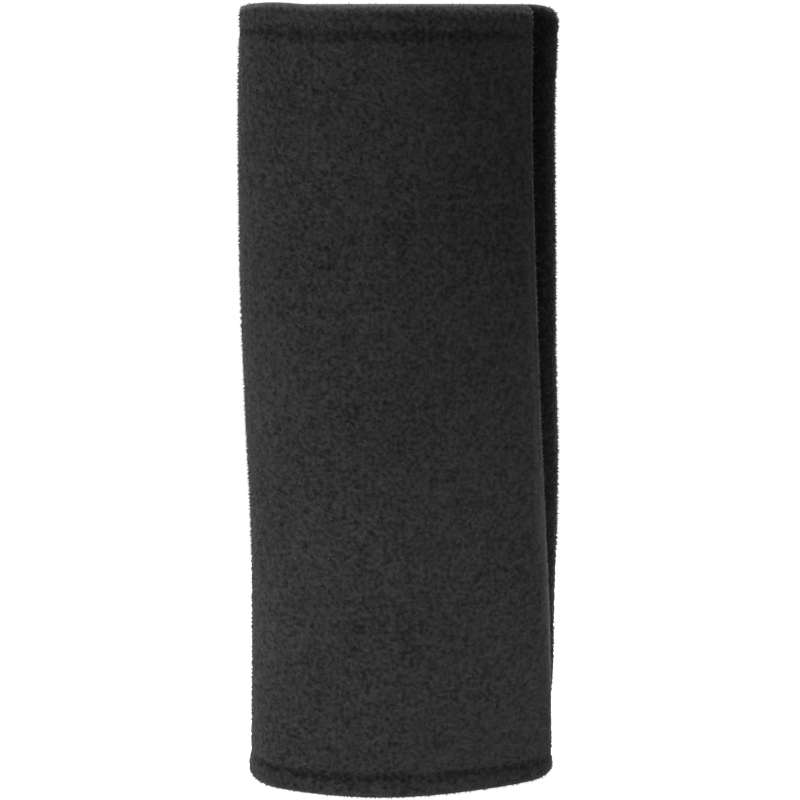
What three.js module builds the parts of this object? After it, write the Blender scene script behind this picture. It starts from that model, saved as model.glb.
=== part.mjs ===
// Seat belt shoulder pad. A flat padded panel is rolled lengthwise into an oval tube that the belt
// runs through, and its long edges overlap and are held by hook and loop tape.
// Millimetres, +Z up along the belt, the wide front faces -Y and the overlap lies at its +X side.

import * as THREE from 'three';

// The rolled pad, measured over the wall's outer faces
const padLength = 230;
const mouthWidth = 91.4;
const mouthDepth = 46;
const waistSpread = 1.6;
const waistSqueeze = 5;

// The layers of the wall, from the outside in
const plushThickness = 1.4;
const foamThickness = 5;
const liningThickness = 0.7;
const layerGap = 0.3;

// Hook and loop closure
const tapeWidth = 20;
const tapeInset = 3;
const tapeEndInset = 13;
const hookThickness = 1.2;
const loopThickness = 1.2;
const tapeRamp = 9;

// The flap's free edge: from the middle of the front round to the edge at the top end, how much
// further round it lies at the bottom end, and the panel's rounded corners
const flapReach = 37.7;
const flapSwing = 12.3;
const cornerRadius = 5;

// Rolled rims and the hem stitch at each end
const rimRoll = 3.4;
const topHemDepth = 9.2;
const bottomHemDepth = 7.4;
const hemStitchThickness = 6.2;
const hemGrooveHalf = 2.6;

// The tightest turn of the lining, inside the fold that carries the overlap
const innerFoldRadius = 1.5;
const tuckLead = 1;
const tuckRun = 12;

// The foam lies this far inside the seam round the panel's edge
const foamInset = 0.6;

// Cover and lining are sewn together along a seam at the middle of the wall
const wallThickness = plushThickness + foamThickness + liningThickness + 2 * layerGap;
const wallHalf = wallThickness / 2;
const coverSeat = plushThickness + layerGap / 2;
const liningSeat = liningThickness + layerGap / 2;

// Where the tapes are sewn down the wall is flat, and one layer of it lies under the other
const overlapPitch = liningSeat + hookThickness + loopThickness + coverSeat + 3 * layerGap;
const foldRadius = innerFoldRadius + overlapPitch + wallHalf;

// The seam's path round the pad at one height: wide front and back arcs joined by two fold arcs,
// starting at the middle of the front and running to the left fold first
const ovals = new Map();
function ovalAt(z) {
  if (ovals.has(z)) return ovals.get(z);
  const bell = Math.sin((Math.PI * z) / padLength);
  const halfWidth = (mouthWidth + waistSpread * bell) / 2 - wallHalf;
  const halfDepth = (mouthDepth - waistSqueeze * bell) / 2 - wallHalf;
  const reach = halfWidth - foldRadius;
  const panelRadius = (reach ** 2 + halfDepth ** 2 - foldRadius ** 2) / (2 * (halfDepth - foldRadius));
  const setBack = panelRadius - halfDepth;
  const turn = Math.asin(reach / (panelRadius - foldRadius));
  const toFront = -Math.PI / 2;
  const toBack = Math.PI / 2;
  const path = new THREE.Path();
  path.absarc(0, setBack, panelRadius, toFront, toFront - turn, true);
  path.absarc(-reach, 0, foldRadius, toFront - turn, toBack + turn - 2 * Math.PI, true);
  path.absarc(0, -setBack, panelRadius, toBack + turn, toBack - turn, true);
  path.absarc(reach, 0, foldRadius, toBack - turn, toFront + turn, true);
  path.absarc(0, setBack, panelRadius, toFront + turn, toFront, true);
  const oval = {
    path,
    girth: path.getLength(),
    panelArc: 2 * panelRadius * turn,
    foldArc: foldRadius * (Math.PI - 2 * turn),
  };
  ovals.set(z, oval);
  return oval;
}

// The flat panel: as wide as the mouth's girth and the overlap that the tapes need
const mouth = ovalAt(0);
const overlap = tapeWidth + 2 * tapeInset;
const panelWidth = mouth.girth + overlap;

// How much further round than at the top end the flap's free edge lies
function swing(up) {
  return flapSwing * (1 - up / padLength) ** 2;
}

// Puts a point of the flat panel on the rolled pad: across is measured from the flap's free edge,
// up along the belt, and lift outward from the seam. Beyond the fold the panel tucks under its flap.
function rolled(across, up, lift) {
  const { path, girth } = ovalAt(up);
  const edge = flapReach + swing(up);
  const pastEdge = across - girth;
  const tuck = overlapPitch * THREE.MathUtils.smootherstep(pastEdge, -tuckLead - tuckRun, -tuckLead);
  const share = THREE.MathUtils.euclideanModulo((across - edge) / girth, 1);
  const point = path.getPoint(share);
  const along = path.getTangent(share);
  const out = lift - tuck;
  return new THREE.Vector3(point.x - along.y * out, point.y + along.x * out, up);
}

// How full the pad is, from 0 at the seam round its edge to 1: a quarter-round roll at every edge,
// drawn down to the stitch's thickness in the groove of each hem
const hemStitches = [bottomHemDepth, padLength - topHemDepth];
const grooveDepth = (wallThickness - hemStitchThickness) / (wallThickness - coverSeat - liningSeat);
function rollShare(fromEdge) {
  return Math.sqrt(1 - (1 - Math.min(fromEdge / rimRoll, 1)) ** 2);
}
function fullness(across, up) {
  const fromEnd = Math.min(up, padLength - up);
  const fromSide = Math.min(across, panelWidth - across);
  const fromStitch = Math.min(...hemStitches.map((stitch) => Math.abs(up - stitch)));
  const groove = grooveDepth * Math.max(0, 1 - fromStitch / hemGrooveHalf);
  return rollShare(fromSide) * rollShare(fromEnd) * (1 - groove);
}

// 0 where a tape is sewn flat along a long edge, rising to 1 in the padded part
function besideTape(fromEdge) {
  return THREE.MathUtils.smoothstep(fromEdge, tapeInset + tapeWidth, tapeInset + tapeWidth + tapeRamp);
}
function coverLift(across, up) {
  const full = fullness(across, up) * besideTape(panelWidth - across);
  return coverSeat + (wallHalf - coverSeat) * full;
}
function liningLift(across, up) {
  const full = fullness(across, up) * besideTape(across);
  return -liningSeat - (wallHalf - liningSeat) * full;
}

// Height on the panel once its corners are rounded
function roundedUp(across, up) {
  const fromSide = Math.min(across, panelWidth - across, cornerRadius);
  const inset = cornerRadius - Math.sqrt(cornerRadius ** 2 - (cornerRadius - fromSide) ** 2);
  return inset + (up * (padLength - 2 * inset)) / padLength;
}

// A closed sheet over a grid of panel places, between an inner and an outer lift. Both faces are
// split along the same diagonals, so that the layers nest.
const innerFace = 3;
function sheet(stops, upStops, innerLift, outerLift, acrossAt = (stop) => stop) {
  const geometry = new THREE.BoxGeometry(1, 1, 1, stops.length - 1, 1, upStops.length - 1);
  const spots = geometry.attributes.position;
  for (let i = 0; i < spots.count; i += 1) {
    const stop = stops[Math.round((spots.getX(i) + 0.5) * (stops.length - 1))];
    const up = upStops[Math.round((spots.getZ(i) + 0.5) * (upStops.length - 1))];
    const across = acrossAt(stop, up);
    const lift = spots.getY(i) > 0 ? outerLift(across, up) : innerLift(across, up);
    const place = rolled(across, roundedUp(across, up), lift);
    spots.setXYZ(i, place.x, place.y, place.z);
  }
  const { start, count } = geometry.groups[innerFace];
  for (let i = start; i < start + count; i += 6) {
    geometry.index.setX(i + 2, geometry.index.getX(i + 4));
    geometry.index.setX(i + 3, geometry.index.getX(i));
  }
  geometry.computeVertexNormals();
  return geometry;
}

// Evenly spaced stops from one place up to, but not including, the next
function spread(from, to, count) {
  return Array.from({ length: count }, (_, i) => from + ((to - from) * i) / count);
}

// Stops across the panel at its top end, closer together round the rims, the folds and the tuck
const rimStops = [0, foamInset, rimRoll / 2];
const leftFold = flapReach + mouth.panelArc / 2;
const leftFoldEnd = leftFold + mouth.foldArc;
const rightFold = flapReach + mouth.panelArc * 1.5 + mouth.foldArc;
const acrossStops = [
  ...rimStops,
  ...spread(rimRoll, overlap, 7),
  ...spread(overlap, leftFold, 6),
  ...spread(leftFold, leftFoldEnd, 8),
  ...spread(leftFoldEnd, rightFold, 8),
  ...spread(rightFold, mouth.girth, 12),
  ...spread(mouth.girth, panelWidth - rimRoll, 6),
  panelWidth - rimRoll,
  ...rimStops.map((stop) => panelWidth - stop).reverse(),
];

// Further down the stops of the folds stay on their arcs, while those by the long edges swing
function stopAcross(stop, up) {
  const toFold = THREE.MathUtils.mapLinear(stop, overlap, leftFold, 0, 1);
  const toEdge = THREE.MathUtils.mapLinear(stop, mouth.girth, panelWidth - rimRoll, 1, 0);
  return stop + swing(up) * THREE.MathUtils.clamp(Math.min(toFold, toEdge), 0, 1);
}

// Stops along the panel, at the rims and hem grooves and evenly between them
const [bottomStitch, topStitch] = hemStitches;
const upStops = [
  ...rimStops,
  bottomStitch - hemGrooveHalf,
  bottomStitch,
  ...spread(bottomStitch + hemGrooveHalf, topStitch - hemGrooveHalf, 6),
  topStitch - hemGrooveHalf,
  topStitch,
  topStitch + hemGrooveHalf,
  ...rimStops.map((stop) => padLength - stop).reverse(),
];

// Plush cover: the outside of the pad, down to the seam round its edge
function plushCover() {
  const innerLift = (a, u) => coverLift(a, u) - plushThickness;
  return sheet(acrossStops, upStops, innerLift, coverLift, stopAcross);
}

// Lining: the smooth inside that the belt slides on
function innerLining() {
  const outerLift = (a, u) => liningLift(a, u) + liningThickness;
  return sheet(acrossStops, upStops, liningLift, outerLift, stopAcross);
}

// Foam: fills the space between cover and lining, up to just inside the seam
function foamPad() {
  const innerLift = (a, u) => liningLift(a, u) + liningThickness + layerGap;
  const outerLift = (a, u) => coverLift(a, u) - plushThickness - layerGap;
  return sheet(acrossStops.slice(1, -1), upStops.slice(1, -1), innerLift, outerLift, stopAcross);
}

// Tapes: the hook tape inside the flap and the loop tape on the edge that lies under it
const tapeUpStops = [...spread(tapeEndInset, padLength - tapeEndInset, 10), padLength - tapeEndInset];
function tape(nearEdge, innerLift, outerLift) {
  const stops = [...spread(nearEdge, nearEdge + tapeWidth, 10), nearEdge + tapeWidth];
  return sheet(stops, tapeUpStops, () => innerLift, () => outerLift);
}
function hookTape() {
  const outer = -liningSeat - layerGap;
  return tape(tapeInset, outer - hookThickness, outer);
}
function loopTape() {
  const inner = coverSeat + layerGap;
  return tape(mouth.girth + tapeInset, inner, inner + loopThickness);
}

function fabric(colour, roughness) {
  return new THREE.MeshStandardMaterial({ color: colour, roughness, metalness: 0 });
}

const pad = new THREE.Group();
function add(name, geometry, material) {
  const mesh = new THREE.Mesh(geometry, material);
  mesh.name = name;
  pad.add(mesh);
}
add('outer_cover', plushCover(), fabric('#2b2b2b', 1));
add('foam_pad', foamPad(), fabric('#8c8c86', 0.95));
add('inner_lining', innerLining(), fabric('#1d1d1e', 0.8));
add('hook_tape', hookTape(), fabric('#151515', 0.6));
add('loop_tape', loopTape(), fabric('#1a1a1a', 0.9));

// The tuck makes the right side narrower, so the pad is centred over its foot
const reach = new THREE.Box3().setFromObject(pad);
pad.position.set(-(reach.min.x + reach.max.x) / 2, -(reach.min.y + reach.max.y) / 2, 0);

export default pad;
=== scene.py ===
import bpy
import numpy as np
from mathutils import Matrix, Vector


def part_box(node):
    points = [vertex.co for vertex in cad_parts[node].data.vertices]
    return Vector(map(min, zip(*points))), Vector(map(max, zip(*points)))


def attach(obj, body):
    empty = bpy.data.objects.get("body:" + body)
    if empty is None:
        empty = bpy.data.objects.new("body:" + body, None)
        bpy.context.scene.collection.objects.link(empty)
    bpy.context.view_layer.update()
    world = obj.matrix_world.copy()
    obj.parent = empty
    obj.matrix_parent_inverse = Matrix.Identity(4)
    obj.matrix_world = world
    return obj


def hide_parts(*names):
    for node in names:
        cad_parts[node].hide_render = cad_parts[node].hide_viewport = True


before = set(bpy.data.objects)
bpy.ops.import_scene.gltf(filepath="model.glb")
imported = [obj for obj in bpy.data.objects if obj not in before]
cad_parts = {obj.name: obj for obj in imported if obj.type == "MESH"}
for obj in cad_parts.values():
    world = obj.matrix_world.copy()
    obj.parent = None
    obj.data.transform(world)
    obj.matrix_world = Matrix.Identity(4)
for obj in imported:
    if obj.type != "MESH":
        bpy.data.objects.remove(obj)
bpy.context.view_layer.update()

# The camera stands level with the pad's top rim, a few degrees to the left of square on, and looks
# a little down through a long lens, as the photograph was taken.
MM = 0.001
eye_distance, eye_height, eye_shift = 600, 235, -0.45
eye_turn, eye_tilt = np.radians(3.54), np.radians(11.24)
eye = bpy.data.objects.new("eye", bpy.data.cameras.new("eye"))
eye.data.lens = 93.65
eye.location = (
    (eye_shift - eye_distance * np.sin(eye_turn)) * MM,
    -eye_distance * np.cos(eye_turn) * MM,
    eye_height * MM,
)
eye.rotation_euler = (np.pi / 2 - eye_tilt, 0, -eye_turn)
bpy.context.scene.collection.objects.link(eye)
bpy.context.scene.camera = eye

# The sewn panel: plush, foam and lining, cut 224 mm wide and 230 mm long, sewn together round the
# edge and rolled lengthwise into an oval tube whose long edges overlap. The seam between the layers
# runs at the middle of the wall, and each layer is placed by its distance, or lift, from that seam.
box_low, box_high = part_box("outer_cover")
pad_length = (box_high.z - box_low.z) / MM
# The rolled pad reaches this far to the left of its own middle, so the frame says where that lies
left_reach = 46.5
pad_shift = box_low.x / MM + left_reach
mouth_width, mouth_depth = 91.4, 46
waist_spread, waist_squeeze = 1.6, 5
wall_thickness, plush_thickness, lining_thickness, layer_gap = 7.7, 1.4, 0.7, 0.3
cover_seat, lining_seat = plush_thickness + layer_gap / 2, lining_thickness + layer_gap / 2
fold_radius, corner_radius = 11.05, 2.2
rim_roll, top_roll_change = 3.4, 1.5
tape_width, tape_inset, tape_ramp = 20, 3, 9

# The flap's free edge, with the shares of its swing that come evenly and that come near the foot
flap_reach, flap_swing, even_share, foot_share, foot_power = 37.7, 12.3, 0.34, 0.66, 6
# The tuck under it, whose run is shorter at the foot and grows between these two heights
overlap, overlap_pitch = tape_width + 2 * tape_inset, 5.7
tuck_lead, tuck_run, foot_tuck_run, tuck_low, tuck_high = 1, 12, 7, 15, 65

# The hems' stitches with the bottom one's climb, the creases they pull, and the flare below them
top_hem, bottom_hem, hem_climb, climb_width = pad_length - 7.9, 7, 1.4, 12
hem_crease, hem_depth, taped_crease = 1.7, 1, 0.3
hem_flare, flare_from, flare_to = 0.4, bottom_hem - 1.5, bottom_hem + 2.5
edge_stitch, edge_crease, edge_depth = 1.9, 1.2, 0.5
# How much less a hem is pulled in at the folds, and how firmly at the flap's edge and further in
fold_loss, edge_firm, firm_from, firm_to = 0.8, 0.3, 1, 12

# The pad isn't quite straight: at these heights it leans to the right, and is wider, by so much
lean_heights = [0, 30, 80, 150, pad_length]
lean = np.polynomial.Polynomial.fit(lean_heights, [-0.3, 1.3, 0.7, -0.5, -0.45], 3)
spread = np.polynomial.Polynomial.fit(lean_heights, [-0.1, 0.5, -0.7, -0.6, -0.8], 3)
# At its foot the right half of the front stands this far back, over this width and height
foot_dent, dent_middle, dent_width, dent_height = 1.7, 22, 20, 25
# and its top rim droops over the right fold and rises beside the left one, by so much and so wide
top_droop, droop_width, top_rise, rise_width, rim_height = 0.8, 5, 0.7, 9, 30


def oval(up):
    """The seam's path round the pad at each height. The wide front and back are arcs of one radius
    and the two folds are arcs of another, and they meet where their directions agree."""
    waist = np.sin(np.pi * up / pad_length)
    half_width = (mouth_width + waist_spread * waist - wall_thickness) / 2
    half_depth = (mouth_depth - waist_squeeze * waist - wall_thickness) / 2
    reach = half_width - fold_radius
    radius = (reach**2 + half_depth**2 - fold_radius**2) / (2 * (half_depth - fold_radius))
    turn = np.arcsin(reach / (radius - fold_radius))
    front, fold = radius * turn, fold_radius * (np.pi - 2 * turn)
    return reach, radius, radius - half_depth, turn, front, fold


_, _, _, _, mouth_front, mouth_fold = oval(0)
mouth_girth = 4 * mouth_front + 2 * mouth_fold
panel_width = mouth_girth + overlap


def smooth_step(value, low, high):
    """0 below low, 1 above high, and a curve with level ends between them."""
    share = np.clip((value - low) / (high - low), 0, 1)
    return share**3 * (share * (6 * share - 15) + 10)


def bell(distance, width):
    """1 where the distance is nothing, falling on both sides to about a third at the width."""
    return np.exp(-((distance / width) ** 2))


def flap_edge(up):
    """How far round from the middle of the front the flap's free edge lies. It swings round slowly
    all the way down, and quickly near the foot."""
    down = 1 - up / pad_length
    return flap_reach + flap_swing * (even_share * down + foot_share * down**foot_power)


def rim_drop(round_it, up, front, fold):
    """How far the top rim droops at the middle of the right fold, less its rise beside the left."""
    drop = top_droop * bell(round_it - 3 * front - 1.5 * fold, droop_width)
    drop = drop - top_rise * bell(round_it - front, rise_width)
    return drop * smooth_step(up, pad_length - rim_height, pad_length)


def rolled(across, up, lift):
    """Puts places of the flat panel on the rolled pad, and says which way the cloth faces there.

    across is measured from the flap's free edge. The distance round from the middle of the front
    picks the arc and the angle on it, and beyond the right fold the panel tucks under its flap."""
    side = np.minimum(np.minimum(across, panel_width - across), corner_radius)
    inset = corner_radius - np.sqrt(corner_radius**2 - (corner_radius - side) ** 2)
    up = inset + up * (pad_length - 2 * inset) / pad_length
    reach, radius, back, turn, front, fold = oval(up)
    girth = 4 * front + 2 * fold
    round_it = np.mod(across - flap_edge(up), girth)
    stretch = [round_it < end for end in (front, front + fold, 3 * front + fold, girth - front)]
    angle = np.select(
        stretch,
        [
            round_it / radius,
            turn + (round_it - front) / fold_radius,
            np.pi - turn + (round_it - front - fold) / radius,
            np.pi + turn + (round_it - 3 * front - fold) / fold_radius,
        ],
        2 * np.pi - turn + (round_it - girth + front) / radius,
    )
    centre_x = np.select(stretch, [0 * reach, -reach, 0 * reach, reach], 0 * reach)
    centre_y = np.select(stretch, [back, 0 * back, -back, 0 * back], back)
    bend = np.select(stretch, [radius, fold_radius, radius, fold_radius], radius)
    run = tuck_run + (foot_tuck_run - tuck_run) * smooth_step(-up, -tuck_high, -tuck_low)
    tuck = overlap_pitch * smooth_step(across - girth, -tuck_lead - run, -tuck_lead)
    out = bend + lift - tuck
    facing = np.stack([-np.sin(angle), -np.cos(angle), 0 * angle], -1)
    x = (centre_x + out * facing[..., 0]) * (1 + spread(up) / mouth_width) + lean(up) + pad_shift
    dent = np.exp(-(((x - dent_middle) / dent_width) ** 2) - up / dent_height)
    y = centre_y + out * facing[..., 1] + foot_dent * dent * np.clip(-facing[..., 1], 0, 1) ** 2
    return np.stack([x, y, up - rim_drop(round_it, up, front, fold)], -1), facing


def in_fold(across, up):
    """1 at the middle of either fold, falling to 0 on the wide front and back."""
    _, _, _, _, front, fold = oval(up)
    round_it = across - flap_edge(up)
    parts = [(round_it - front) / fold, (round_it - 3 * front - fold) / fold]
    return sum(np.sin(np.pi * np.clip(part, 0, 1)) ** 2 for part in parts)


def roll_share(from_edge, radius):
    """The height of a quarter round, from 0 at the edge to 1 at its radius and beyond."""
    return np.sqrt(1 - (1 - np.clip(from_edge / radius, 0, 1)) ** 2)


def rims(across, up):
    """How full the wall is beside the panel's edges, and how far a place lies from the nearest long
    edge and end. At the top the roll is tighter over the left fold and looser over the right one."""
    side, end = np.minimum(across, panel_width - across), np.minimum(up, pad_length - up)
    round_it = 2 * np.pi * (across - flap_reach) / mouth_girth
    top_roll = rim_roll - top_roll_change * np.sin(round_it)
    ends = roll_share(up, rim_roll) * roll_share(pad_length - up, top_roll)
    return roll_share(side, rim_roll) * ends, side, end


def hem_rise(across):
    """How far the bottom hem's stitches climb where they pass the left fold."""
    fold_middle = flap_edge(0) + mouth_front + mouth_fold / 2
    return hem_climb * bell(across - fold_middle, climb_width)


def hem_pull(across, up, loss=fold_loss):
    """1 on the stitches of either hem, falling to 0 beside them as a bell of the crease's width. In
    the folds, where the foam is bent, and by the flap's edge they hardly sink in."""
    from_hem = np.minimum(np.abs(up - bottom_hem - hem_rise(across)), np.abs(up - top_hem))
    firm = edge_firm + (1 - edge_firm) * smooth_step(across, firm_from, firm_to)
    return bell(from_hem, hem_crease) * ((1 - loss * in_fold(across, up)) * firm)


def edge_pull(side):
    """1 on the stitches beside the long edges, falling in a quarter round to 0 where it ends."""
    return 1 - roll_share(np.abs(side - edge_stitch), edge_crease)


def full_cover(across, up):
    """The plush's outer face before it swells: creased at its stitches, and flat under the loop tape."""
    full, side, _ = rims(across, up)
    padded = smooth_step(panel_width - across, tape_inset + tape_width, overlap + tape_ramp)
    crease = hem_depth * hem_pull(across, up) + edge_depth * edge_pull(side)
    flare = hem_flare * (1 - smooth_step(up, flare_from, flare_to))
    swell = (wall_thickness / 2 - cover_seat + flare) * padded
    swell = swell - crease * (taped_crease + (1 - taped_crease) * padded)
    return layer_gap + (cover_seat - layer_gap + swell) * full


def full_lining(across, up):
    """The lining's inner face before it swells: creased at its stitches, and flat over the hook tape."""
    full, _, _ = rims(across, up)
    padded = smooth_step(across, tape_inset + tape_width, overlap + tape_ramp)
    swell = (wall_thickness / 2 - lining_seat - hem_depth * hem_pull(across, up)) * padded
    return -layer_gap - (lining_seat - layer_gap + swell) * full


def layer(across_stops, up_stops, inner_lift, outer_lift):
    """A closed layer of the panel: an outer and an inner face over one grid of places, joined all
    round. Gives its points, its quads and each point's place on the flat cloth."""
    across, up = np.meshgrid(across_stops, up_stops)
    outer, _ = rolled(across, up, outer_lift(across, up))
    inner, _ = rolled(across, up, inner_lift(across, up))
    number = np.arange(across.size).reshape(across.shape)
    quads = np.stack([number[:-1, :-1], number[1:, :-1], number[1:, 1:], number[:-1, 1:]], -1)
    quads = quads.reshape(-1, 4)
    rim = np.concatenate([number[0, :-1], number[:-1, -1], number[-1, :0:-1], number[:0:-1, 0]])
    after = np.roll(rim, -1)
    sides = np.stack([rim, after, after + across.size, rim + across.size], -1)
    points = np.concatenate([outer.reshape(-1, 3), inner.reshape(-1, 3)])
    flat = np.tile(np.stack([across, up], -1).reshape(-1, 2), (2, 1))
    return points, np.concatenate([quads, quads[:, ::-1] + across.size, sides]), flat


def add_piece(name, points, faces, material=None, flat=None):
    """A smooth mesh at the origin from points in millimetres. flat is each point's place on the flat
    cloth, which becomes its UV map, with the pad's length as one unit."""
    mesh = bpy.data.meshes.new(name)
    mesh.from_pydata(points * MM, [], faces)
    if flat is not None:
        corners = np.zeros(len(mesh.loops), int)
        mesh.loops.foreach_get("vertex_index", corners)
        mesh.uv_layers.new(name="cloth").data.foreach_set("uv", (flat / pad_length)[corners].ravel())
    mesh.shade_smooth()
    if material:
        mesh.materials.append(material)
    made = bpy.data.objects.new(name, mesh)
    bpy.context.scene.collection.objects.link(made)
    return made


# The foam is never quite even, so that the wall has soft lumps 25 mm or so apart, which flatten
# towards the hems. Its springiness is simulated on an even grid of places.
rng = np.random.default_rng(52)
lump_height, lump_count, lump_from, lump_to, end_lump = 0.42, 10, 6, 26, 0.25
lumps = rng.normal(0, lump_height, (lump_count, lump_count))
swell_count, sewn_end, sewn_side = 64, 11, 5


def simulated_bulge(pressure=4, most=2.4, steps=20):
    """How far the springy foam, as a pressure inside a coarse closed panel, lifts its cover and its
    lining at each stop of the even grid. Edges, hems and tapes are sewn and stay, and the lift over
    the lift plus most, times most, keeps every lift under most."""
    stops, heights = np.linspace(0, panel_width, swell_count), np.linspace(0, pad_length, swell_count)
    points, quads, flat = layer(stops, heights, full_lining, full_cover)
    trial = add_piece("trial_panel", points, quads)
    across, up = flat.T
    _, side, end = rims(across, up)
    outside = np.arange(len(flat)) < len(flat) / 2
    taped = np.where(outside, across > panel_width - overlap, across < overlap)
    sewn = trial.vertex_groups.new(name="sewn")
    sewn.add(np.flatnonzero((end < sewn_end) | (side < sewn_side) | taped).tolist(), 1, "REPLACE")
    cloth = trial.modifiers.new("cloth", "CLOTH").settings
    cloth.mass, cloth.quality = 0.3, 6
    cloth.tension_stiffness = cloth.compression_stiffness = 15
    cloth.bending_stiffness = 0.5
    cloth.use_pressure, cloth.uniform_pressure_force = True, pressure
    cloth.vertex_group_mass = sewn.name
    cloth.effector_weights.gravity = 0
    for step in range(1, steps + 1):
        bpy.context.scene.frame_set(step)
    moved = np.zeros(points.size)
    swollen = trial.evaluated_get(bpy.context.evaluated_depsgraph_get()).data
    swollen.vertices.foreach_get("co", moved)
    bpy.data.objects.remove(trial)
    bpy.context.scene.frame_set(1)
    _, facing = rolled(across, up, 0 * up)
    bulge = ((moved.reshape(-1, 3) / MM - points) * facing).sum(1)
    return (most * bulge / (np.abs(bulge) + most)).reshape(2, swell_count, swell_count)


swell = simulated_bulge()


def field_at(field, across, up):
    """A coarse field over the panel, read at finer places through cubic B-splines, with no creases."""

    def weights(share, count):
        apart = np.abs(share[..., None] * (count - 1) - np.arange(count))
        near, far = 2 / 3 - apart**2 + apart**3 / 2, np.clip(2 - apart, 0, None) ** 3 / 6
        weight = np.where(apart < 1, near, far)
        return weight / weight.sum(-1, keepdims=True)

    down, over = weights(up / pad_length, len(field)), weights(across / panel_width, len(field[0]))
    return ((down @ field) * over).sum(-1)


def cover_lift(across, up):
    """The plush's outer face, with the simulated bulge and the lumps where nothing is sewn."""
    full, _, end = rims(across, up)
    loose = smooth_step(panel_width - across, overlap, overlap + tape_ramp)
    share = end_lump + (1 - end_lump) * smooth_step(end, lump_from, lump_to)
    lump = field_at(lumps, across, up) * share
    return full_cover(across, up) + loose * (lump * full + field_at(swell[0], across, up))


# The lining's ripples are about 4 mm apart, wander slowly and quickly on their way up, and fade out
# towards the ends and the long edges
ripple_height, ripple_turn, ripple_ends, ripple_sides = 0.35, 1.55, (3, 22), (10, 30)
slow_wander, slow_length, quick_wander, quick_length, quick_width = 1.3, 31, 0.8, 13, 9


def lining_lift(across, up):
    """The lining's inner face. Inside a fold it is too long for its path, and lies in ripples."""
    full, side, end = rims(across, up)
    loose = smooth_step(across, overlap, overlap + tape_ramp) * full
    phase = across * ripple_turn + slow_wander * np.sin(up / slow_length)
    phase = phase + quick_wander * np.sin(up / quick_length + across / quick_width)
    ripple = (0.5 + 0.5 * np.sin(phase)) * in_fold(across, up)
    ripple = ripple * smooth_step(end, *ripple_ends) * smooth_step(side, *ripple_sides)
    lump = field_at(lumps[::-1], across, up) * smooth_step(end, lump_from, lump_to)
    lift = lump + ripple_height * ripple + field_at(swell[1], across, up)
    return full_lining(across, up) + loose * lift


def stops(*runs):
    """Stops along a length. Each run says where it starts and ends, and how far apart its stops are."""
    parts = [np.linspace(a, b, max(1, round((b - a) / gap)), endpoint=False) for a, b, gap in runs]
    return np.append(np.concatenate(parts), runs[-1][1])


def panel_stops(gap, fine, rim_steps, beside=4):
    """Stops across and up the whole panel: on a quarter round at each edge, fine apart at the hems
    and beside their stitches, and gap apart elsewhere."""
    rim = rim_roll * (1 - np.cos(np.linspace(0, np.pi / 2, rim_steps)))[:-1]
    across = stops((rim_roll, panel_width - rim_roll, gap))
    ends = [rim_roll, bottom_hem, bottom_hem + beside, top_hem - beside, top_hem, pad_length - rim_roll]
    up = stops(*zip(ends, ends[1:], (fine, fine, gap, fine, fine)))
    sizes = ((across, panel_width), (up, pad_length))
    return [np.concatenate([rim, run, size - rim[::-1]]) for run, size in sizes]


def linear(hex_colour):
    """An sRGB hex colour as the linear red, green, blue and alpha that a shader takes."""
    srgb = np.array([int(hex_colour[i : i + 2], 16) / 255 for i in (1, 3, 5)])
    return (*np.where(srgb <= 0.04045, srgb / 12.92, ((srgb + 0.055) / 1.055) ** 2.4), 1)


def add_node(tree, kind, inputs=None, **settings):
    """Adds a shader node. Each input is given a value, or the output that feeds it."""
    made = tree.nodes.new(kind)
    for name, value in settings.items():
        setattr(made, name, value)
    for socket, value in (inputs or {}).items():
        if isinstance(value, bpy.types.NodeSocket):
            tree.links.new(value, made.inputs[socket])
        else:
            made.inputs[socket].default_value = value
    return made


def new_material(name):
    """An empty node material and its tree."""
    made = bpy.data.materials.new(name)
    made.use_nodes = True
    made.node_tree.nodes.clear()
    return made, made.node_tree


def set_stops(ramp, places):
    """Gives a colour ramp its stops, each a place from 0 to 1 and a hex colour."""
    while len(ramp.elements) < len(places):
        ramp.elements.new(0.5)
    for element, (place, colour) in zip(ramp.elements, places):
        element.position, element.color = place, linear(colour)


# Foam pad: one sheet of open-cell polyurethane foam 5 mm thick, die-cut a little smaller than the
# panel, loose between cover and lining and held by the seam round its edge.
foam, tree = new_material("open_cell_polyurethane_foam")
place = add_node(tree, "ShaderNodeTexCoord").outputs["Object"]
# Cells of about 0.6 mm: pits in a pale grey web, with shade painted into the pits as a darker tone. The
# foam scatters the light and never shines
cells = add_node(tree, "ShaderNodeTexVoronoi", {"Vector": place, "Scale": 1 / (0.6 * MM)})
tone = add_node(tree, "ShaderNodeValToRGB", {"Fac": cells.outputs["Distance"]})
set_stops(tone.color_ramp, [(0.05, "#6f6f6a"), (0.6, "#a0a09a")])
pits = add_node(tree, "ShaderNodeBump", {"Height": cells.outputs["Distance"], "Distance": 0.3 * MM})
shader = add_node(tree, "ShaderNodeBsdfPrincipled", {
    "Base Color": tone.outputs["Color"], "Roughness": 0.95, "Specular IOR Level": 0.2,
    "Normal": pits.outputs["Normal"],
})
add_node(tree, "ShaderNodeOutputMaterial", {"Surface": shader.outputs["BSDF"]})

foam_inset, cloth_clearance = 2.2, 0.2


def cover_inside(across, up):
    """The plush's inner face, which thins out to the seam at the edge."""
    return np.maximum(cover_lift(across, up) - plush_thickness, layer_gap / 3)


def lining_outside(across, up):
    """The lining's outer face, which thins out to the seam at the edge."""
    return np.minimum(lining_lift(across, up) + lining_thickness, -layer_gap / 3)


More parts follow.
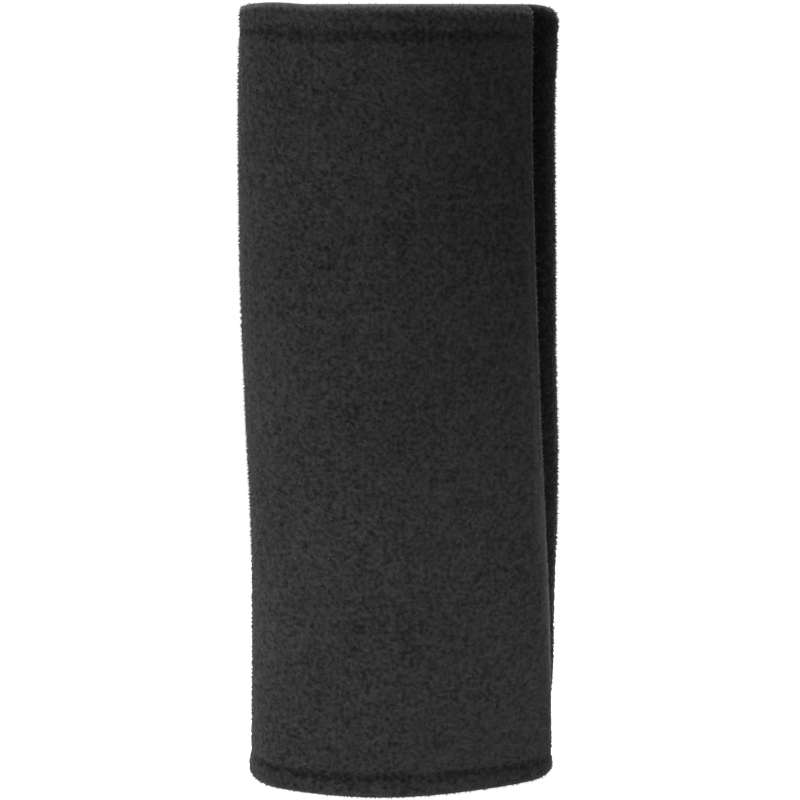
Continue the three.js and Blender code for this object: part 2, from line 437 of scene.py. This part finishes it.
across_stops, up_stops = panel_stops(gap=2.6, fine=2, rim_steps=5)
points, quads, flat = layer(
    np.unique(across_stops.clip(foam_inset, panel_width - foam_inset)),
    np.unique(up_stops.clip(foam_inset, pad_length - foam_inset)),
    lambda a, u: lining_outside(a, u) + cloth_clearance,
    lambda a, u: cover_inside(a, u) - cloth_clearance,
)
foam_pad = add_piece("foam_sheet", points, quads, foam, flat)
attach(foam_pad, "root")
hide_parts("foam_pad")

# Inner lining: one smooth black warp-knitted polyester panel, which the belt slides on. It is sewn
# to the plush round the edge and through the hems, and ripples inside the folds.
knit, tree = new_material("warp_knitted_polyester_lining")
on_cloth = add_node(tree, "ShaderNodeUVMap", uv_map="cloth").outputs["UV"]
# A Wave texture of this scale has bands 1 mm apart on the cloth. The knit's wales are 0.9 mm and its
# courses 1.1 mm apart, twice as coarse as real ones so that the ribs show
millimetre_bands = 2 * np.pi / 20 * pad_length
wales, courses = (
    add_node(tree, "ShaderNodeTexWave", {
        "Vector": on_cloth, "Scale": millimetre_bands / apart,
        "Distortion": 0.4, "Detail": 2, "Detail Scale": 4,
    }, bands_direction=way)
    for apart, way in ((0.9, "X"), (1.1, "Y"))
)
knots = add_node(tree, "ShaderNodeMath", {
    0: wales.outputs["Fac"], 1: courses.outputs["Fac"],
}, operation="MULTIPLY")
tone = add_node(tree, "ShaderNodeValToRGB", {"Fac": knots.outputs["Value"]})
set_stops(tone.color_ramp, [(0, "#141415"), (1, "#2c2c2e")])
ribs = add_node(tree, "ShaderNodeBump", {
    "Height": knots.outputs["Value"], "Distance": 0.15 * MM, "Strength": 0.7,
})
shader = add_node(tree, "ShaderNodeBsdfPrincipled", {
    "Base Color": tone.outputs["Color"], "Roughness": 0.7, "Specular IOR Level": 0.2,
    "Sheen Weight": 0.1, "Sheen Roughness": 0.4, "Normal": ribs.outputs["Normal"],
})
add_node(tree, "ShaderNodeOutputMaterial", {"Surface": shader.outputs["BSDF"]})

across_stops, up_stops = panel_stops(gap=1.6, fine=0.9, rim_steps=6)
points, quads, flat = layer(across_stops, up_stops, lining_lift, lining_outside)
lining = add_piece("knitted_lining", points, quads, knit, flat)
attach(lining, "root")
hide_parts("inner_lining")

# Outer cover: one panel of black short-pile polyester plush, brushed and sheared. It is what shows
# all round: a quarter-round roll at each edge, and creases where the hems and the flap are stitched.
plush, tree = new_material("sheared_polyester_plush")
place = add_node(tree, "ShaderNodeTexCoord").outputs["Object"]
# Tufts of about 1.3 mm show as pale and dark specks, clumps of 4 mm as blotches, and where the nap
# was stroked another way the tone drifts over 40 mm
specks = add_node(tree, "ShaderNodeTexNoise", {
    "Vector": place, "Scale": 1 / (1.3 * MM), "Detail": 2, "Roughness": 0.5,
})
blotches = add_node(tree, "ShaderNodeTexNoise", {"Vector": place, "Scale": 1 / (4 * MM), "Detail": 2})
drift = add_node(tree, "ShaderNodeTexNoise", {"Vector": place, "Scale": 1 / (40 * MM), "Detail": 1})
pile = add_node(tree, "ShaderNodeMath", {
    0: blotches.outputs["Fac"], 1: 0.25, 2: specks.outputs["Fac"],
}, operation="MULTIPLY_ADD")
tones = add_node(tree, "ShaderNodeMath", {
    0: drift.outputs["Fac"], 1: 0.2, 2: pile.outputs["Value"],
}, operation="MULTIPLY_ADD")
# Painted shade along the stitch lines and under the flap, and a painted highlight along its edge
painted_shade_and_highlight = add_node(tree, "ShaderNodeAttribute", attribute_name="painted_shade_and_highlight").outputs["Fac"]
# Painted shade: the tone is lowered where the attribute is 1
tones = add_node(tree, "ShaderNodeMath", {
    0: painted_shade_and_highlight, 1: -0.2, 2: tones.outputs["Value"],
}, operation="MULTIPLY_ADD")
tone = add_node(tree, "ShaderNodeValToRGB", {"Fac": tones.outputs["Value"]})
set_stops(tone.color_ramp, [(0.46, "#121212"), (0.9, "#333333")])
# Painted highlight: the tone is mixed towards pale grey where the attribute is below 0
painted_highlight = add_node(tree, "ShaderNodeMath", {0: painted_shade_and_highlight, 1: -1}, operation="MULTIPLY", use_clamp=True)
tone = add_node(tree, "ShaderNodeMix", {
    0: painted_highlight.outputs["Value"], 6: tone.outputs["Color"], 7: linear("#606060"),
}, data_type="RGBA")
nap = add_node(tree, "ShaderNodeBump", {
    "Height": pile.outputs["Value"], "Distance": 0.5 * MM, "Strength": 0.8,
})
shader = add_node(tree, "ShaderNodeBsdfPrincipled", {
    "Base Color": tone.outputs[2], "Roughness": 0.95, "Specular IOR Level": 0.04,
    "Sheen Weight": 0.15, "Sheen Roughness": 0.5, "Normal": nap.outputs["Normal"],
})
add_node(tree, "ShaderNodeOutputMaterial", {"Surface": shader.outputs["BSDF"]})

# How uneven the clumps are, and how much of its painted shade and tuft shortening a hem's crease loses
# in the folds. Shade is painted on the cloth under the flap, from 14 to 7 mm before its edge comes round
# again
clump_height, tone_fold_loss, flap_shade_from, flap_shade_to = 0.07, 0.3, 14, 7
# A painted highlight lies in a line along the flap's edge, so far in and so wide, and hardly at the top
highlight_middle, highlight_width, top_highlight, highlight_power = 1.5, 1.5, 0.12, 1.5


def stitch_pull(across, up):
    """1 on a stitch line of the cover, falling to 0 where its crease ends."""
    _, side, _ = rims(across, up)
    return np.maximum(hem_pull(across, up, tone_fold_loss), edge_pull(side))


def plush_face(across, up):
    """The plush's outer face with its clumped pile, uneven from one clump to the next."""
    return cover_lift(across, up) + rng.normal(0, clump_height, across.shape) * rims(across, up)[0]


def paint_shade_and_highlight(piece, across, up):
    """Gives the plush's material its painted shade and highlight: 1 for painted shade on a stitch line
    and under the flap, and below 0 for a painted highlight where the cloth turns over the flap's edge,
    more so at the foot."""
    # Painted shade on the cloth under the flap's edge
    shade_under_flap = smooth_step(across, mouth_girth - flap_shade_from, mouth_girth - flap_shade_to)
    # Painted highlight along the flap's edge, strongest at the foot
    painted_highlight = top_highlight + (1 - top_highlight) * (1 - up / pad_length) ** highlight_power
    painted_highlight = painted_highlight * bell(across - highlight_middle, highlight_width)
    shade_less_highlight = np.maximum(stitch_pull(across, up) * (1 - painted_highlight), shade_under_flap) - painted_highlight
    values = piece.data.attributes.new("painted_shade_and_highlight", "FLOAT", "POINT").data
    values.foreach_set("value", shade_less_highlight.astype(np.float32))


across_stops, up_stops = panel_stops(gap=1.15, fine=0.6, rim_steps=9)
points, quads, flat = layer(across_stops, up_stops, cover_inside, plush_face)
cover = add_piece("plush_cover", points, quads, plush, flat)
# The cover gets its painted shade and highlight
paint_shade_and_highlight(cover, *flat.T)

# Pile: the plush's sheared tufts stand about 0.7 mm out of the cloth, lean downwards with the nap,
# and fray its outline. The edge under the flap is pressed flat and hidden, and has none.
tuft_gap, tuft_jitter, tuft_length, tuft_radius, tuft_sink = 0.92, 0.45, 0.7, 0.32, 0.2
shortest, longest, pulled_short = 0.7, 1.1, 0.5
nap_lean, tip_spread, light_spread, slope_reach = 0.5, 0.3, 0.25, 0.2
pile_low, pile_high = 0.05, pad_length + 0.6
tuft_corners = np.arange(3) * 2 * np.pi / 3
tuft_faces = np.array([[0, 1, 3], [1, 2, 3], [2, 0, 3], [0, 2, 1]])


def scattered(low, high, gap, jitter):
    """Places spread over a stretch of the panel, gap apart and moved off their rows by jitter."""
    across, up = np.meshgrid(*[np.arange(a + gap / 2, b, gap) for a, b in zip(low, high)])
    places = np.stack([across.ravel(), up.ravel()], -1)
    return (places + rng.uniform(-jitter, jitter, places.shape) * gap).T


def unit(vectors):
    """The vectors at a length of one."""
    return vectors / np.linalg.norm(vectors, axis=-1, keepdims=True)


def on_cover(across, up):
    """Places on the cover's outer face."""
    return rolled(across, up, cover_lift(across, up))[0]


def pile_over(name, start, end):
    """Spikes of four faces over a stretch of the cover. Each has a triangle sunk in the cloth and a
    tip that leans from the way the cloth faces towards the ground, a little its own way. It takes
    the light as the cloth round it does, because real fibres are too fine to show faces."""
    across, up = scattered((start, 0), (end, pad_length), tuft_gap, tuft_jitter)
    low_a, high_a = np.clip([across - slope_reach, across + slope_reach], 0, panel_width)
    low_u, high_u = np.clip([up - slope_reach, up + slope_reach], 0, pad_length)
    spot = on_cover(across, up)
    over = unit(on_cover(high_a, up) - on_cover(low_a, up))
    out = unit(np.cross(on_cover(across, high_u) - on_cover(across, low_u), over))
    beside = np.cross(out, over)
    angle = tuft_corners + rng.uniform(0, 2 * np.pi, (len(up), 1))
    ring = over[:, None] * np.cos(angle)[..., None] + beside[:, None] * np.sin(angle)[..., None]
    ring = (spot - tuft_sink * out)[:, None] + tuft_radius * ring
    tip = unit(out + [0, 0, -nap_lean] + rng.normal(0, tip_spread, out.shape))
    length = tuft_length * rng.uniform(shortest, longest, len(up))
    tip = spot + tip * (length * (1 - pulled_short * stitch_pull(across, up)))[:, None]
    points = np.concatenate([ring, tip[:, None]], 1)
    points[..., 2] = points[..., 2].clip(pile_low, pile_high)
    faces = tuft_faces + 4 * np.arange(len(up))[:, None, None]
    made = add_piece(name, points.reshape(-1, 3), faces.reshape(-1, 3), plush)
    soft = unit(out + rng.normal(0, light_spread, out.shape))
    made.data.normals_split_custom_set_from_vertices(np.repeat(soft, 4, axis=0))
    # The tufts get the same painted shade and highlight as the cover
    paint_shade_and_highlight(made, np.repeat(across, 4), np.repeat(up, 4))
    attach(made, "root")
    return made


front_pile = pile_over("front_pile", 0, mouth_girth / 2)
back_pile = pile_over("back_pile", mouth_girth / 2, mouth_girth + 1)
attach(cover, "root")
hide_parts("outer_cover")

# Closure: woven nylon tape 20 mm wide, with stiff hooks on the one sewn inside the flap, and brushed
# loops on the one sewn to the outside of the edge that lies under it.
tape_end_inset, web_thickness, face_margin = 13, 0.4, 0.8
hook_seat, loop_seat = -(lining_seat + layer_gap), cover_seat + layer_gap
loop_start = mouth_girth + tape_inset
tape_up = stops((tape_end_inset, pad_length - tape_end_inset, 2))


def little_tubes(base, heading, out, line, radius, around=5):
    """Closed tubes that all have one bent centreline. line gives its places along the heading and out
    from the base, and radius its thickness there; each tube stands on its own base."""
    along = np.gradient(line, axis=0)
    along = along / np.linalg.norm(along, axis=1, keepdims=True)
    beside = np.cross(heading, out)
    across = out[:, None] * along[:, :1] - heading[:, None] * along[:, 1:]
    path = base[:, None] + heading[:, None] * line[:, :1] + out[:, None] * line[:, 1:]
    angle = np.arange(around)[:, None] * 2 * np.pi / around
    ring = across[:, :, None] * np.cos(angle) + beside[:, None, None] * np.sin(angle)
    points = path[:, :, None] + np.broadcast_to(radius, len(line))[:, None, None] * ring
    number = np.arange(len(line) * around).reshape(len(line), around)
    after = np.roll(number, -1, 1)
    a, b, c, d = (part.ravel() for part in (number[:-1], after[:-1], after[1:], number[1:]))
    wall = [np.stack([a, b, c], -1), np.stack([a, c, d], -1)]
    fan = np.stack([np.zeros(around - 2, int), np.arange(2, around), np.arange(1, around - 1)], -1)
    faces = np.concatenate([*wall, fan, fan[:, ::-1] + number[-1, 0]])
    faces = faces + np.arange(len(base))[:, None, None] * number.size
    return points.reshape(-1, 3), faces.reshape(-1, 3)


def panel_frame(across, up, lift):
    """The spot, the way across the cloth, the way up it and the way out of it at places of the panel."""
    spot, facing = rolled(across, up, lift)
    sideways = np.stack([facing[..., 1], -facing[..., 0], 0 * across], -1)
    return spot, sideways, np.broadcast_to([0, 0, 1.0], spot.shape), facing


def tape_web(name, start, seat, away, material):
    """A tape's woven ground, from its seat on the cloth out to its face."""
    near, far = sorted((seat, seat + away * web_thickness))
    across = stops((start, start + tape_width, 1))
    points, quads, flat = layer(across, tape_up, lambda a, u: 0 * a + near, lambda a, u: 0 * a + far)
    web = add_piece(name, points, quads, material, flat)
    web.data.shade_flat()
    return web


def nylon(name, dark, light, roughness):
    """Woven nylon: ribs of 0.7 mm by 0.5 mm over and under, dyed black, with a slight shine."""
    made, tree = new_material(name)
    on_cloth = add_node(tree, "ShaderNodeUVMap", uv_map="cloth").outputs["UV"]
    warp, weft = (
        add_node(tree, "ShaderNodeTexWave", {
            "Vector": on_cloth, "Scale": millimetre_bands / rib,
        }, bands_direction=way)
        for rib, way in ((0.7, "X"), (0.5, "Y"))
    )
    weave = add_node(tree, "ShaderNodeMath", {
        0: warp.outputs["Fac"], 1: weft.outputs["Fac"],
    }, operation="MULTIPLY")
    tone = add_node(tree, "ShaderNodeValToRGB", {"Fac": weave.outputs["Value"]})
    set_stops(tone.color_ramp, [(0, dark), (1, light)])
    ribs = add_node(tree, "ShaderNodeBump", {"Height": weave.outputs["Value"], "Distance": 0.12 * MM})
    shader = add_node(tree, "ShaderNodeBsdfPrincipled", {
        "Base Color": tone.outputs["Color"], "Roughness": roughness, "Normal": ribs.outputs["Normal"],
    })
    add_node(tree, "ShaderNodeOutputMaterial", {"Surface": shader.outputs["BSDF"]})
    return made


hook_nylon = nylon("woven_nylon_hook_tape", "#0c0c0c", "#1e1e1f", 0.45)
loop_nylon = nylon("woven_nylon_loop_tape", "#101010", "#262627", 0.8)
hook_web = tape_web("hook_tape_web", tape_inset, hook_seat, -1, hook_nylon)
loop_web = tape_web("loop_tape_web", loop_start, loop_seat, 1, loop_nylon)

# A hook rises straight from its root in the web and bends over, and the hooks stand in rows
hook_gap, hook_jitter, hook_radius, hook_root, stem, hook_bend = 1.6, 0.08, 0.085, 0.1, 0.55, 0.18
turn = np.linspace(0, np.radians(200), 5)
hook_line = np.stack([hook_bend * (1 - np.cos(turn)), stem + hook_bend * np.sin(turn)], -1)
hook_line = np.concatenate([[[0, -hook_root]], hook_line])
# A loop is a low arch, and the loops stand and turn at random
loop_gap, loop_jitter, loop_radius, loop_root, loop_half, loop_height = 1.5, 0.45, 0.09, 0.08, 0.55, 0.75
turn = np.linspace(0, np.pi, 7)
loop_line = np.stack([-loop_half * np.cos(turn), loop_height * np.sin(turn) - loop_root], -1)
tape_low = np.array([face_margin, tape_end_inset + face_margin])
tape_high = np.array([tape_width - face_margin, pad_length - tape_end_inset - face_margin])

across, up = scattered(tape_low, tape_high, hook_gap, hook_jitter)
spot, _, upward, facing = panel_frame(across + tape_inset, up, hook_seat - web_thickness + 0 * up)
lean_way = rng.choice([-1, 1], (len(up), 1))
points, faces = little_tubes(spot, upward * lean_way, -facing, hook_line, hook_radius, around=4)
hooks = add_piece("hook_tape_hooks", points, faces, hook_nylon)

across, up = scattered(tape_low, tape_high, loop_gap, loop_jitter)
spot, sideways, upward, facing = panel_frame(
    across + mouth_girth + tape_inset, up, loop_seat + web_thickness + 0 * up
)
way = rng.uniform(0, 2 * np.pi, (len(up), 1))
heading = sideways * np.cos(way) + upward * np.sin(way)
points, faces = little_tubes(spot, heading, facing, loop_line, loop_radius, around=3)
loops = add_piece("loop_tape_loops", points, faces, loop_nylon)

tapes = ((hook_web, hooks, "hook_tape", lining), (loop_web, loops, "loop_tape", cover))
for web, face, node, carrier in tapes:
    for piece in (web, face):
        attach(piece, "root")
    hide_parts(node)

# Sewing thread: black bonded polyester 0.4 mm thick, in lockstitches 3 mm long. They run through
# both hems, beside the panel's long edges, and along both sides of each tape.
thread, tree = new_material("black_polyester_thread")
place = add_node(tree, "ShaderNodeTexCoord").outputs["Object"]
# Twisted fibres 0.15 mm thick, which catch the light along the stitch
twist = add_node(tree, "ShaderNodeTexNoise", {"Vector": place, "Scale": 1 / (0.3 * MM), "Detail": 1})
tone = add_node(tree, "ShaderNodeValToRGB", {"Fac": twist.outputs["Fac"]})
set_stops(tone.color_ramp, [(0.35, "#080808"), (0.65, "#1a1a1a")])
fibres = add_node(tree, "ShaderNodeBump", {"Height": twist.outputs["Fac"], "Distance": 0.1 * MM})
shader = add_node(tree, "ShaderNodeBsdfPrincipled", {
    "Base Color": tone.outputs["Color"], "Roughness": 0.6, "Specular IOR Level": 0.15,
    "Normal": fibres.outputs["Normal"],
})
add_node(tree, "ShaderNodeOutputMaterial", {"Surface": shader.outputs["BSDF"]})

# A stitch lies on the cloth, bends down into it at both ends and narrows to a blunt tip there
stitch_length, stitch_gap, stitch_sink, stitch_dip = 2.7, 0.5, 0.02, 0.35
thread_radius, tip_round = 0.2, 1.02
share = np.linspace(-1, 1, 6)
stitch_line = np.stack([share * stitch_length / 2, -stitch_sink - stitch_dip * share**2], -1)
stitch_radius = thread_radius * np.sqrt(tip_round - share**2)


def seam(start, end, lift, inside=False):
    """A row of stitches over a straight line of the panel, on the face that lift gives."""
    start, end = np.array(start), np.array(end)
    length = np.linalg.norm(end - start)
    count = int(length / (stitch_length + stitch_gap))
    share = (np.arange(count)[:, None] + 0.5) / count
    across, up = (start + (end - start) * share).T
    if start[1] == end[1] == bottom_hem:
        up = up + hem_rise(across)
    spot, sideways, upward, facing = panel_frame(across, up, lift(across, up))
    heading = (sideways * (end - start)[0] + upward * (end - start)[1]) / length
    return little_tubes(spot, heading, -facing if inside else facing, stitch_line, stitch_radius)


def joined(parts):
    """Several meshes as one, each keeping its own faces."""
    firsts = np.cumsum([0] + [len(points) for points, _ in parts])
    faces = np.concatenate([faces + first for (_, faces), first in zip(parts, firsts)])
    return np.concatenate([points for points, _ in parts]), faces


# How far from the panel's or the tape's edges the rows start, and how far inside a tape they run
hem_inset, edge_inset, row_inset, row_margin = 2.2, 6, tape_end_inset + 1, 1.2
both_faces = ((cover_lift, False), (lining_lift, True))
hem_parts = [
    seam((hem_inset, up), (panel_width - hem_inset, up), lift, inside)
    for lift, inside in both_faces
    for up in (bottom_hem, top_hem)
]
edge_parts = [
    seam((a, edge_inset), (a, pad_length - edge_inset), lift, inside)
    for a in (edge_stitch, panel_width - edge_stitch)
    for lift, inside in both_faces
]
tape_faces = (
    (tape_inset, lambda a, u: 0 * a + hook_seat - web_thickness, True),
    (loop_start, lambda a, u: 0 * a + loop_seat + web_thickness, False),
)
tape_parts = [
    seam((start + a, row_inset), (start + a, pad_length - row_inset), lift, inside)
    for start, lift, inside in tape_faces
    for a in (row_margin, tape_width - row_margin)
]
rows = (("hem_stitches", hem_parts), ("edge_stitches", edge_parts), ("tape_stitches", tape_parts))
for name, parts in rows:
    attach(add_piece(name, *joined(parts), thread), "root")

# The floor is plain white paper, and the light is soft and nearly even: softboxes to the left, in
# front to the left, above and behind, a small one low in front for the flap's edge, and a faint glow.
floor_half, floor_glow, ambient = 250, 0.85, 0.05


def directly_seen(tree):
    """1 for a ray from the camera, off a shine or through something clear, and otherwise 0."""
    rays = add_node(tree, "ShaderNodeLightPath").outputs
    seen = add_node(tree, "ShaderNodeMath", {
        0: rays["Is Camera Ray"], 1: rays["Is Glossy Ray"],
    }, operation="MAXIMUM")
    return add_node(tree, "ShaderNodeMath", {
        0: seen.outputs["Value"], 1: rays["Is Transmission Ray"],
    }, operation="MAXIMUM").outputs["Value"]


# It glows towards such rays only, so that it is white and still keeps the pad's shadow
floor_paper, tree = new_material("white_background_paper")
glow = add_node(tree, "ShaderNodeMath", {0: directly_seen(tree), 1: floor_glow}, operation="MULTIPLY")
paper = add_node(tree, "ShaderNodeBsdfDiffuse", {"Color": linear("#f2f2f2")})
lit = add_node(tree, "ShaderNodeEmission", {"Strength": glow.outputs["Value"]})
both = add_node(tree, "ShaderNodeAddShader", {0: paper.outputs["BSDF"], 1: lit.outputs["Emission"]})
add_node(tree, "ShaderNodeOutputMaterial", {"Surface": both.outputs["Shader"]})
corners = np.array([[-1, -1, 0], [1, -1, 0], [1, 1, 0], [-1, 1, 0]]) * floor_half
add_piece("floor", corners, [[0, 1, 2, 3]], floor_paper)

world = bpy.data.worlds.new("studio")
bpy.context.scene.world = world
world.use_nodes = True
tree = world.node_tree
tree.nodes.clear()
strength = add_node(tree, "ShaderNodeMath", {
    0: directly_seen(tree), 1: 1 - ambient, 2: ambient,
}, operation="MULTIPLY_ADD")
sky = add_node(tree, "ShaderNodeBackground", {
    "Color": linear("#ffffff"), "Strength": strength.outputs["Value"],
})
add_node(tree, "ShaderNodeOutputWorld", {"Surface": sky.outputs["Background"]})


def softbox(name, place, size, power):
    """A square area lamp at a place in millimetres, turned to the middle of the pad."""
    lamp = bpy.data.lights.new(name, "AREA")
    lamp.size, lamp.energy = size * MM, power
    made = bpy.data.objects.new(name, lamp)
    made.location = [value * MM for value in place]
    aim = np.array([0, 0, pad_length / 2]) - place
    made.rotation_euler = (np.arctan2(np.hypot(aim[0], aim[1]), -aim[2]), 0, np.arctan2(-aim[0], aim[1]))
    made.visible_camera = False
    bpy.context.scene.collection.objects.link(made)


softbox("left_lamp", (-1200, -300, 300), size=500, power=11)
softbox("front_lamp", (-800, -1200, 450), size=350, power=10)
softbox("top_lamp", (0, 60, 800), size=300, power=6)
softbox("back_lamp", (650, 1150, 450), size=500, power=11)
softbox("low_front_lamp", (40, -150, 35), size=50, power=0.07)
bpy.context.scene.view_settings.view_transform = "Standard"
